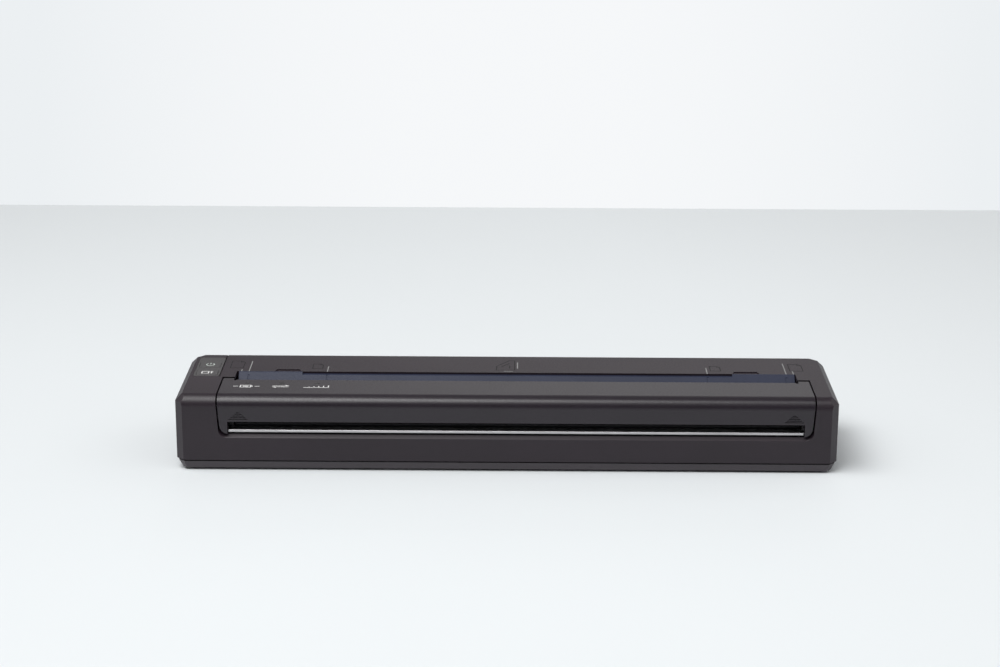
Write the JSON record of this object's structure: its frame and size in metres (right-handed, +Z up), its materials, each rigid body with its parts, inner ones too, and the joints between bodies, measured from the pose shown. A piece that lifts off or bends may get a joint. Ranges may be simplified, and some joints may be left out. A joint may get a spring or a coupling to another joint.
{
  "type": "portable thermal printer",
  "caption": "Slim bar-shaped portable thermal printer for single A4 sheets, with a hinged release cover, platen roller, geared motor and sprung print head.",
  "frame": {"origin": "under the middle of the case, on the plane that the feet stand on", "axes": "+X along the bar, +Z up, the front with the paper exit faces -Y"},
  "size_m": [0.255, 0.055, 0.0302],
  "materials": {
    "case_plastic": "fine spark texture, charcoal",
    "cover_plastic": "fine spark texture, charcoal",
    "guide_plastic": "smooth, dark slate blue",
    "panel_plastic": "smooth, mid grey",
    "key_plastic": "smooth, mid grey",
    "clear_plastic": "smoked clear moulding",
    "inner_plastic": "plain black moulding",
    "gear_plastic": "natural acetal",
    "bush_plastic": "oil filled acetal",
    "roller_rubber": "ground silicone rubber",
    "foot_rubber": "moulded",
    "steel": "bright zinc plated sheet",
    "tear_steel": "bright stainless, ground edge",
    "shaft_steel": "ground and polished",
    "spring_steel": "music wire",
    "screw_steel": "black zinc",
    "contact_brass": "gold flashed spring brass",
    "head_aluminium": "extruded, mill finish",
    "head_glaze": "glazed ceramic strip, stood in by a gloss material",
    "board_laminate": "green solder resist",
    "cable_film": "amber film",
    "cell_wrap": "black moulded pack",
    "motor_steel": "grey plated can"
  },
  "bodies": {
    "case": {"battery_contacts": "contact_brass", "battery_pack": "cell_wrap", "bottom_cover": "case_plastic", "button_panel": "panel_plastic", "case_screws": "screw_steel", "feed_motor": "motor_steel", "gear_plate": "steel", "head_pivot_pins": "shaft_steel", "head_ribbon_cable": "cable_film", "head_springs": "spring_steel", "key_board": "board_laminate", "left_hinge_pin": "shaft_steel", "left_platen_bush": "bush_plastic", "main_board": "board_laminate", "main_housing": "case_plastic", "mechanism_chassis": "steel", "paper_guide": "guide_plastic", "paper_sensor": "inner_plastic", "port_board": "board_laminate", "power_jack": "inner_plastic", "reduction_gear_post": "shaft_steel", "right_hinge_pin": "shaft_steel", "right_platen_bush": "bush_plastic", "rubber_feet": "foot_rubber", "tear_bar": "tear_steel", "usb_socket": "steel"},
    "release_cover": {"release_cover": "cover_plastic", "light_guide": "clear_plastic"},
    "platen": {"platen_shaft": "shaft_steel", "platen_roller": "roller_rubber", "platen_gear": "gear_plastic"},
    "reduction_gear": {"reduction_gear": "gear_plastic"},
    "motor_rotor": {"motor_pinion": "gear_plastic"},
    "print_head": {"head_heatsink": "head_aluminium", "head_ceramic": "head_glaze", "head_driver_cover": "inner_plastic"},
    "power_button": {"power_button": "key_plastic"},
    "feed_button": {"feed_button": "key_plastic"},
    "battery_door": {"battery_door": "case_plastic"}
  },
  "joints": [
    {"name": "cover_hinge", "type": "hinge", "parent": "case", "child": "release_cover", "pos_m": [0, -0.006, 0.026], "axis": [-1, 0, 0], "range_deg": [0, 70]},
    {"name": "platen_spin", "type": "hinge", "parent": "case", "child": "platen", "pos_m": [0, -0.0145, 0.0224], "axis": [1, 0, 0], "continuous": true},
    {"name": "reduction_spin", "type": "hinge", "parent": "case", "child": "reduction_gear", "pos_m": [0, -0.01045, 0.01662], "axis": [1, 0, 0], "continuous": true},
    {"name": "motor_spin", "type": "hinge", "parent": "case", "child": "motor_rotor", "pos_m": [0, 0.00232, 0.0139], "axis": [1, 0, 0], "continuous": true},
    {"name": "head_pivot", "type": "hinge", "parent": "case", "child": "print_head", "pos_m": [0, -0.0082, 0.0128], "axis": [1, 0, 0], "range_deg": [0, 4], "stiffness_Nm_per_rad": 0.4, "springref_deg": -6.88, "deforming": ["head_springs", "head_ribbon_cable"]},
    {"name": "power_press", "type": "slide", "parent": "case", "child": "power_button", "axis": [0, 0, -1], "range_m": [0, 0.0004], "stiffness_N_per_m": 400, "springref_m": -0.0002},
    {"name": "feed_press", "type": "slide", "parent": "case", "child": "feed_button", "axis": [0, 0, -1], "range_m": [0, 0.0004], "stiffness_N_per_m": 400, "springref_m": -0.0002},
    {"name": "battery_door_hinge", "type": "hinge", "parent": "case", "child": "battery_door", "pos_m": [0, 0.0263, 0.0058], "axis": [-1, 0, 0], "range_deg": [0, 90]}
  ],
  "couplings": [
    {"joint": "reduction_spin", "follows": "platen_spin", "ratio": -1.3333},
    {"joint": "motor_spin", "follows": "platen_spin", "ratio": 4.4444}
  ]
}
